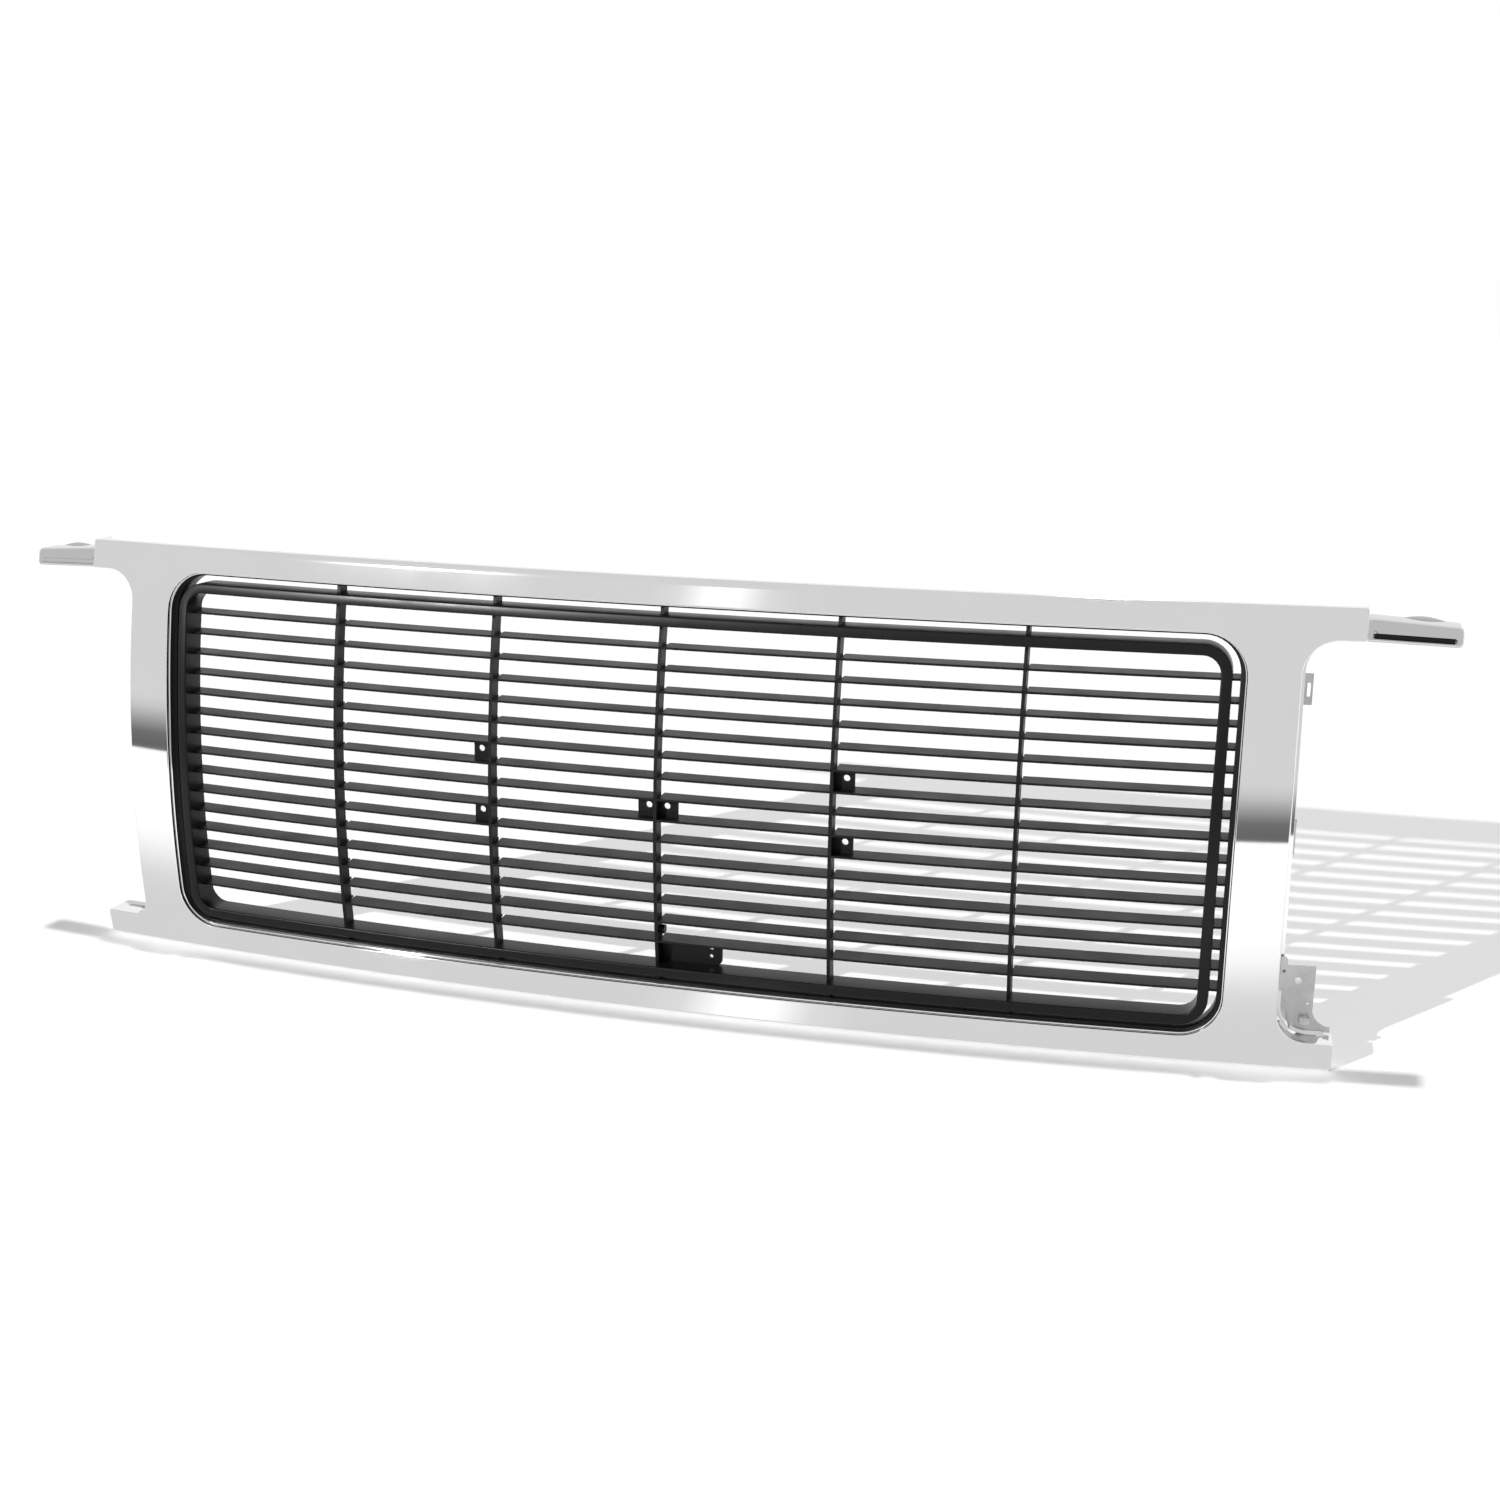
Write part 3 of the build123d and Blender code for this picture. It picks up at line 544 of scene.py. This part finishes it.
def floating_ring(material):
    """Rounded ring, hollow from the rear."""
    rear = RING_FRONT + RING_DEPTH
    r = RING_EDGE
    profile = [(r * across, RING_FRONT + r * back) for across, back in quarter(4)]
    profile += [(RING_WIDTH - r * across, RING_FRONT + r * back) for across, back in reversed(quarter(4))]
    profile += [(RING_WIDTH, rear - RIM_EASE), (RING_WIDTH - RIM_EASE, rear)]
    profile += [(RING_WIDTH - FRAME_WALL + RIM_EASE, rear), (RING_WIDTH - FRAME_WALL, rear - RIM_EASE)]
    profile += [(RING_WIDTH - FRAME_WALL, RING_FRONT + FRAME_WALL), (FRAME_WALL, RING_FRONT + FRAME_WALL)]
    profile += [(FRAME_WALL, rear - RIM_EASE), (FRAME_WALL - RIM_EASE, rear)]
    profile += [(RIM_EASE, rear), (0, rear - RIM_EASE)]
    corners = rectangle(RING_X, RING_Z, RING_CORNER)
    return loop_piece("floating_ring_moulding", "floating_ring", corners, profile, material)


# ---------------------------------------------------------------- side extensions


def ear_section(x, side, low, high, sink):
    """Section of the wing at one place, top rear to bottom rear, with the groove sunk by a depth."""
    front, rear = EAR_FRONT, EAR_FRONT + EAR_DEPTH
    r = min(EAR_EDGE, (high - low) / 2.5)
    g_low, g_high = low + GROOVE_Z[0], low + GROOVE_Z[1]
    points = [(high, rear)]
    points += [(high - r * across, front + r * back) for across, back in quarter(5)]
    points += [(g_high + GROOVE_LIP, front), (g_high, front + GROOVE_SHOULDER * sink)]
    points += [(g_high - GROOVE_SLOPE, front + sink), (g_low + GROOVE_SLOPE, front + sink)]
    points += [(g_low, front + GROOVE_SHOULDER * sink), (g_low - GROOVE_LIP, front)]
    points += [(low + r * across, front + r * back) for across, back in reversed(quarter(5))]
    points += [(low, rear)]
    return [on_skin(side * x, z, depth) for z, depth in points]


def ear_hollow(x, side, low, high):
    """Hollow behind the wing's section, bottom rear to top rear. It closes near the tip."""
    rear = EAR_FRONT + EAR_DEPTH
    floor = EAR_FRONT + SKIN if x < EAR_TIP_X - TIP_ROUND - 1 else rear - HOLLOW_END
    corners = [(low + SKIN, rear), (low + SKIN, floor), (high - SKIN, floor), (high - SKIN, rear)]
    return [on_skin(side * x, z, depth) for z, depth in corners]


def ear_stations():
    """Places along the wing from root to tip, closer together at the groove's ends and round the tip."""
    length = EAR_TIP_X - EAR_ROOT_X
    groove_root = EAR_ROOT_X + GROOVE_INSET
    groove_tip = EAR_TIP_X - GROOVE_INSET - GROOVE_TIP_GAP
    stations = [EAR_ROOT_X, EAR_ROOT_X + FINE_EASE, groove_root - GROOVE_RAMP, groove_root + GROOVE_RAMP]
    stations += [EAR_ROOT_X + length * k / WING_STEPS for k in range(2, WING_STEPS - 1)]
    stations += [groove_tip - GROOVE_RAMP, groove_tip + GROOVE_RAMP]
    stations += [EAR_TIP_X - TIP_ROUND * cos(pi / 2 * k / TIP_STEPS) for k in range(TIP_STEPS + 1)]
    return stations


def ear_flange(side):
    """Outline of the low flange that rises behind the wing's top edge."""
    root_high, (tip_low, tip_high) = EAR_ROOT_Z[1], EAR_TIP_Z
    start, end = FLANGE_SPAN
    slope = (tip_high - root_high) / (EAR_TIP_X - EAR_ROOT_X)
    crest = []
    for k in range(FLANGE_STEPS + 1):
        share = k / FLANGE_STEPS
        x = start + (end - start) * share
        edge = root_high + slope * (x - EAR_ROOT_X) - FLANGE_SINK
        crest.append((side * x, edge + FLANGE_RISE * sin(pi * share) ** 1.5))
    foot_tip, foot_root = FLANGE_FOOT
    return crest + [(side * end, tip_low + foot_tip), (side * start, tip_low + foot_root)]


def side_extension(side, material, painted_groove_shade):
    """Bright hollow wing with a rounded tip, a long groove, a rear flange and a tongue; a second material
    paints shade into the groove.
    """
    shape = Shape()
    stations = ear_stations()
    groove_root = EAR_ROOT_X + GROOVE_INSET
    groove_tip = EAR_TIP_X - GROOVE_INSET - GROOVE_TIP_GAP
    grooved = [groove_root < x < groove_tip for x in stations]
    sections = []
    for x, cut in zip(stations, grooved):
        share = (x - EAR_ROOT_X) / (EAR_TIP_X - EAR_ROOT_X)
        into = max(x - (EAR_TIP_X - TIP_ROUND), 0) / TIP_ROUND
        pinch = TIP_ROUND * TIP_PINCH * (1 - sqrt(max(1 - into**2, 0)))
        ease = FINE_EASE if x == EAR_ROOT_X else 0.0
        low = EAR_ROOT_Z[0] + (EAR_TIP_Z[0] - EAR_ROOT_Z[0]) * share + pinch + ease
        high = EAR_ROOT_Z[1] + (EAR_TIP_Z[1] - EAR_ROOT_Z[1]) * share - pinch - ease
        section = ear_section(x, side, low, high, GROOVE_DEPTH if cut else 0.0)
        back = skin_normal(side * x, (low + high) / 2) * -pinch * TIP_FALL
        section = [section[0]] + [p + back for p in section[1:-1]] + [section[-1]]
        sections.append(section + ear_hollow(x, side, low, high))
    shape.loft(sections)
    count = len(sections[0])
    cut_spans = [k for k in range(len(stations) - 1) if grooved[k] and grooved[k + 1]]
    shaded_groove_faces = [k * count + i for k in cut_spans for i in GROOVE_SIDES]
    rear = EAR_FRONT + EAR_DEPTH
    plate(shape, ear_flange(side), rear - SKIN, rear)
    (near, far), (low, high) = TONGUE_X, TONGUE_Z
    tongue = [(near, low), (far, low), (far, high), (near, high)]
    plate(shape, [(side * x, z) for x, z in tongue], EAR_FRONT, EAR_FRONT + SKIN)
    name = "left" if side < 0 else "right"
    wing = shape.build(f"{name}_side_extension_plating", f"{name}_side_extension", material)
    # Groove faces take the second material, black plastic on the right wing: painted shade for the dark
    # reflection seen in that groove.
    if painted_groove_shade:
        wing.data.materials.append(painted_groove_shade)
        for number in shaded_groove_faces:
            wing.data.polygons[number].material_index = 1
    return wing


def plate(shape, corners, front, rear):
    """Thin plate on the skin with eased edges."""
    flat = [Vector(p) for p in corners]
    middle = sum(flat, Vector((0, 0))) / len(flat)

    def ring(shrink, depth):
        moved = [p + (middle - p).normalized() * shrink for p in flat]
        return shape.skin_ring(moved, depth)

    rings = [ring(PLATE_EASE, front), ring(0, front + PLATE_EASE)]
    rings += [ring(0, rear - PLATE_EASE), ring(PLATE_EASE, rear)]
    shape.tube(rings)
    shape.faces.append(tuple(rings[0]))
    shape.faces.append(tuple(reversed(rings[-1])))


# ---------------------------------------------------------------- materials


def new_material(name):
    material = bpy.data.materials.new(name)
    material.use_nodes = True
    return material, material.node_tree.nodes, material.node_tree.links


def noise_height(nodes, links, scale, detail=2.0):
    """Noise in the object's own space."""
    place = nodes.new("ShaderNodeTexCoord")
    noise = nodes.new("ShaderNodeTexNoise")
    noise.inputs["Scale"].default_value = scale
    noise.inputs["Detail"].default_value = detail
    links.new(place.outputs["Object"], noise.inputs["Vector"])
    return noise.outputs["Fac"]


def bump(nodes, links, height, strength, distance, under=None):
    """Bump of a height, on top of another bump if given."""
    node = nodes.new("ShaderNodeBump")
    node.inputs["Strength"].default_value = strength
    node.inputs["Distance"].default_value = distance
    links.new(height, node.inputs["Height"])
    if under:
        links.new(under, node.inputs["Normal"])
    return node.outputs["Normal"]


def ramp(nodes, links, value, stops):
    """Grey ramp; stops are (place, level) pairs."""
    node = nodes.new("ShaderNodeValToRGB")
    bands = node.color_ramp.elements
    while len(bands) < len(stops):
        bands.new(0.5)
    for band, (place, level) in zip(bands, stops):
        band.position = place
        band.color = (level, level, level, 1)
    links.new(value, node.inputs["Fac"])
    return node.outputs["Color"]


def chrome_material(name, low, high):
    """Bright plating: near mirror, with a faint cloudiness and the slight waviness of a moulding."""
    material, nodes, links = new_material(name)
    shader = nodes["Principled BSDF"]
    shader.inputs["Metallic"].default_value = 1.0
    cloud = noise_height(nodes, links, 9.0, 3.0)
    tint = ramp(nodes, links, cloud, [(0.3, low), (0.7, high)])
    links.new(tint, shader.inputs["Base Color"])
    gloss = ramp(nodes, links, cloud, [(0.3, 0.035), (0.7, 0.055)])
    links.new(gloss, shader.inputs["Roughness"])
    wave = noise_height(nodes, links, 14.0, 1.0)
    links.new(bump(nodes, links, wave, 0.05, 0.0004), shader.inputs["Normal"])
    return material


def bracket_material():
    """Dull plating on the brackets: greyer and rougher than the shell."""
    material, nodes, links = new_material("dull_plating")
    shader = nodes["Principled BSDF"]
    shader.inputs["Metallic"].default_value = 1.0
    cloud = noise_height(nodes, links, 60.0, 4.0)
    links.new(ramp(nodes, links, cloud, [(0.3, 0.52), (0.7, 0.62)]), shader.inputs["Base Color"])
    links.new(ramp(nodes, links, cloud, [(0.3, 0.22), (0.7, 0.34)]), shader.inputs["Roughness"])
    links.new(bump(nodes, links, cloud, 0.15, 0.0003), shader.inputs["Normal"])
    return material


def black_material(name, tone, sheen, roughness, grain):
    """Moulded black plastic with a fine grain."""
    material, nodes, links = new_material(name)
    shader = nodes["Principled BSDF"]
    shader.inputs["Specular IOR Level"].default_value = sheen
    speck = noise_height(nodes, links, 900.0, 2.0)
    cloud = noise_height(nodes, links, 25.0, 3.0)
    tones = [(0.35, tone * 0.8), (0.65, tone * 1.3)]
    links.new(ramp(nodes, links, speck, tones), shader.inputs["Base Color"])
    low, high = roughness
    links.new(ramp(nodes, links, cloud, [(0.3, low), (0.7, high)]), shader.inputs["Roughness"])
    links.new(bump(nodes, links, speck, grain, 0.0002), shader.inputs["Normal"])
    return material


def steel_material():
    """Zinc-plated steel for screws, nuts and clips."""
    material, nodes, links = new_material("zinc_plate")
    shader = nodes["Principled BSDF"]
    shader.inputs["Metallic"].default_value = 1.0
    grain = noise_height(nodes, links, 400.0, 4.0)
    links.new(ramp(nodes, links, grain, [(0.3, 0.55), (0.7, 0.72)]), shader.inputs["Base Color"])
    links.new(ramp(nodes, links, grain, [(0.3, 0.25), (0.7, 0.4)]), shader.inputs["Roughness"])
    return material


def floor_material():
    """Matt white floor."""
    material, nodes, links = new_material("studio_floor")
    shader = nodes["Principled BSDF"]
    shader.inputs["Roughness"].default_value = 0.9
    shader.inputs["Specular IOR Level"].default_value = 0.0
    cloud = noise_height(nodes, links, 1.5, 1.0)
    links.new(ramp(nodes, links, cloud, [(0.3, 0.93), (0.7, 0.94)]), shader.inputs["Base Color"])
    return material


def card_material(name, stops, axis, strength):
    """Glowing card whose brightness follows a ramp along one of its own axes."""
    material, nodes, links = new_material(name)
    nodes.remove(nodes["Principled BSDF"])
    place = nodes.new("ShaderNodeTexCoord")
    split = nodes.new("ShaderNodeSeparateXYZ")
    links.new(place.outputs["Generated"], split.inputs["Vector"])
    glow = nodes.new("ShaderNodeEmission")
    glow.inputs["Strength"].default_value = strength
    links.new(ramp(nodes, links, split.outputs[axis], stops), glow.inputs["Color"])
    links.new(glow.outputs["Emission"], nodes["Material Output"].inputs["Surface"])
    return material


# ---------------------------------------------------------------- studio


def swap(nodes, links, switch, colour, grey):
    """Colour, or a plain grey where the switch is on."""
    mix = nodes.new("ShaderNodeMix")
    mix.data_type = "RGBA"
    links.new(switch, mix.inputs["Factor"])
    links.new(colour, mix.inputs["A"])
    mix.inputs["B"].default_value = (grey, grey, grey, 1)
    return mix.outputs["Result"]


def sun(name, energy, spread, direction):
    """Distant light that shines along a direction, with its spread in degrees."""
    light = bpy.data.lights.new(name, "SUN")
    light.energy = energy
    light.angle = radians(spread)
    lamp = bpy.data.objects.new(name, light)
    lamp.rotation_euler = Vector(direction).to_track_quat("-Z", "Y").to_euler()
    bpy.context.scene.collection.objects.link(lamp)


def level(across, along, z):
    """Corners of a level rectangle."""
    (x0, x1), (y0, y1) = across, along
    return [(x0, y0, z), (x1, y0, z), (x1, y1, z), (x0, y1, z)]


def upright(left, right, heights):
    """Corners of an upright rectangle over a line on the floor."""
    low, high = heights
    return [(*left, low), (*right, low), (*right, high), (*left, high)]


def flat_card(name, corners, material):
    """Four-cornered studio card, seen only in reflections."""
    mesh = bpy.data.meshes.new(name)
    mesh.from_pydata(corners, [], QUAD)
    mesh.materials.append(material)
    card = bpy.data.objects.new(name, mesh)
    bpy.context.scene.collection.objects.link(card)
    card.visible_camera = False
    card.visible_diffuse = False
    card.visible_shadow = False
    return card


def studio():
    """White sky, floor, two suns and the cards."""
    scene = bpy.context.scene
    scene.view_settings.view_transform = "Standard"
    world = bpy.data.worlds.new("studio_light")
    scene.world = world
    world.use_nodes = True
    nodes, links = world.node_tree.nodes, world.node_tree.links
    back = nodes["Background"]
    place = nodes.new("ShaderNodeTexCoord")
    split = nodes.new("ShaderNodeSeparateXYZ")
    links.new(place.outputs["Generated"], split.inputs["Vector"])
    shade = ramp(nodes, links, split.outputs["Y"], SKY_STOPS)
    seen = nodes.new("ShaderNodeLightPath")
    soft = swap(nodes, links, seen.outputs["Is Diffuse Ray"], shade, FILL_LEVEL)
    backdrop = swap(nodes, links, seen.outputs["Is Camera Ray"], soft, 1.0)
    links.new(backdrop, back.inputs["Color"])
    floor_mesh = bpy.data.meshes.new("studio_floor")
    across = (-FLOOR_HALF_WIDTH, FLOOR_HALF_WIDTH)
    along = (-FLOOR_HALF_WIDTH, FLOOR_FAR_Y)
    floor_mesh.from_pydata(level(across, along, 0), [], QUAD)
    floor_mesh.materials.append(floor_material())
    floor = bpy.data.objects.new("studio_floor", floor_mesh)
    scene.collection.objects.link(floor)
    sun("key_sun", *KEY_SUN)
    sun("overhead_sun", *OVERHEAD_SUN)
    cards()


def cards():
    """Cards whose reflections make the chrome's dark line, pale lower part and two bright streaks."""
    dark = card_material("dark_card_glow", DARK_STOPS, "Z", 1.0)
    flat_card("dark_card", upright(*DARK_LINE, (0.0, DARK_HEIGHT)), dark)
    pale = card_material("pale_card_glow", PALE_STOPS, "Y", PALE_STRENGTH)
    flat_card("pale_card", level((-CARD_HALF_WIDTH, CARD_HALF_WIDTH), PALE_REACH, PALE_LIFT), pale)
    streak = card_material("streak_glow", STREAK_STOPS, "X", STREAK_STRENGTH)
    left, right = [(x, TOP_STREAK_Y) for x in TOP_STREAK_X]
    flat_card("top_streak_card", upright(left, right, TOP_STREAK_Z), streak)
    flat_card("bottom_streak_card", level(LOW_STREAK_X, LOW_STREAK_Y, LOW_STREAK_LIFT), streak)


def camera():
    """Camera at the photograph's viewing angle: right of the centreline, looking down."""
    swing, dip, roll = CAMERA_SWING, CAMERA_DIP, CAMERA_ROLL
    ahead = Vector((-sin(swing) * cos(dip), cos(swing) * cos(dip), -sin(dip)))
    across = Vector((cos(swing), sin(swing), 0))
    up = across.cross(ahead)
    right = cos(roll) * across + sin(roll) * up
    top = -sin(roll) * across + cos(roll) * up
    lens = bpy.data.cameras.new("camera")
    lens.sensor_width = CAMERA_SENSOR
    lens.lens = CAMERA_LENS
    lens.clip_end = CAMERA_REACH
    view = bpy.data.objects.new("camera", lens)
    turn = Matrix((right, top, -ahead)).transposed().to_4x4()
    view.matrix_world = Matrix.Translation(CAMERA_PLACE) @ turn
    bpy.context.scene.collection.objects.link(view)
    bpy.context.scene.camera = view


# ---------------------------------------------------------------- assembly


def soften(node, width):
    """Eased edges on a CAD node."""
    tool = node.modifiers.new("eased_edges", "BEVEL")
    tool.width = width * MM
    tool.segments = 2
    tool.limit_method = "ANGLE"
    tool.angle_limit = radians(40)
    tool.harden_normals = True
    tool.use_clamp_overlap = True


def dress(nodes, names, material, width):
    """Material and eased edges on CAD nodes."""
    for name in names:
        node = nodes[name]
        node.data.materials.clear()
        node.data.materials.append(material)
        soften(node, width)


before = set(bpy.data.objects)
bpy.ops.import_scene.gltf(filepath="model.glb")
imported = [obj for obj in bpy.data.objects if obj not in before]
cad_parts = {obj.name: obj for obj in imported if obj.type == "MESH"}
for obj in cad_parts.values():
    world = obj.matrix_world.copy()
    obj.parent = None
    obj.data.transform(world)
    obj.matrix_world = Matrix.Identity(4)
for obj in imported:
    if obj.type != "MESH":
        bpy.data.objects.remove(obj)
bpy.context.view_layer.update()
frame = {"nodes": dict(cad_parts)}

chrome = chrome_material("bright_chrome", 0.90, 0.925)
# The wings get the shell's plating with a darker base colour: painted shade that makes them read greyer than
# the shell under the same lights.
shaded_wing_chrome = chrome_material("shaded_wing_chrome", 0.66, 0.70)
slat_black = black_material("slat_black", 0.005, 0.16, (0.38, 0.48), 0.25)
ring_black = black_material("ring_black", 0.005, 0.20, (0.26, 0.34), 0.10)
cad = frame["nodes"]
chrome_shell(chrome)
insert_frame(ring_black)
floating_ring(ring_black)
side_extension(-1, shaded_wing_chrome, None)
# Right wing: black plastic painted into its groove as shade; the left groove stays plated.
side_extension(1, shaded_wing_chrome, ring_black)
slats = [name for name in cad if name.startswith(("slat_", "rib_"))]
dress(cad, slats, slat_black, SLAT_BEVEL)
dress(cad, TABS, slat_black, SMALL_BEVEL)
brackets = [f"{side}_{kind}" for side in SIDES for kind in BRACKET_KINDS]
dress(cad, brackets, bracket_material(), BRACKET_BEVEL)
dress(cad, STEEL, steel_material(), SMALL_BEVEL)
studio()
camera()
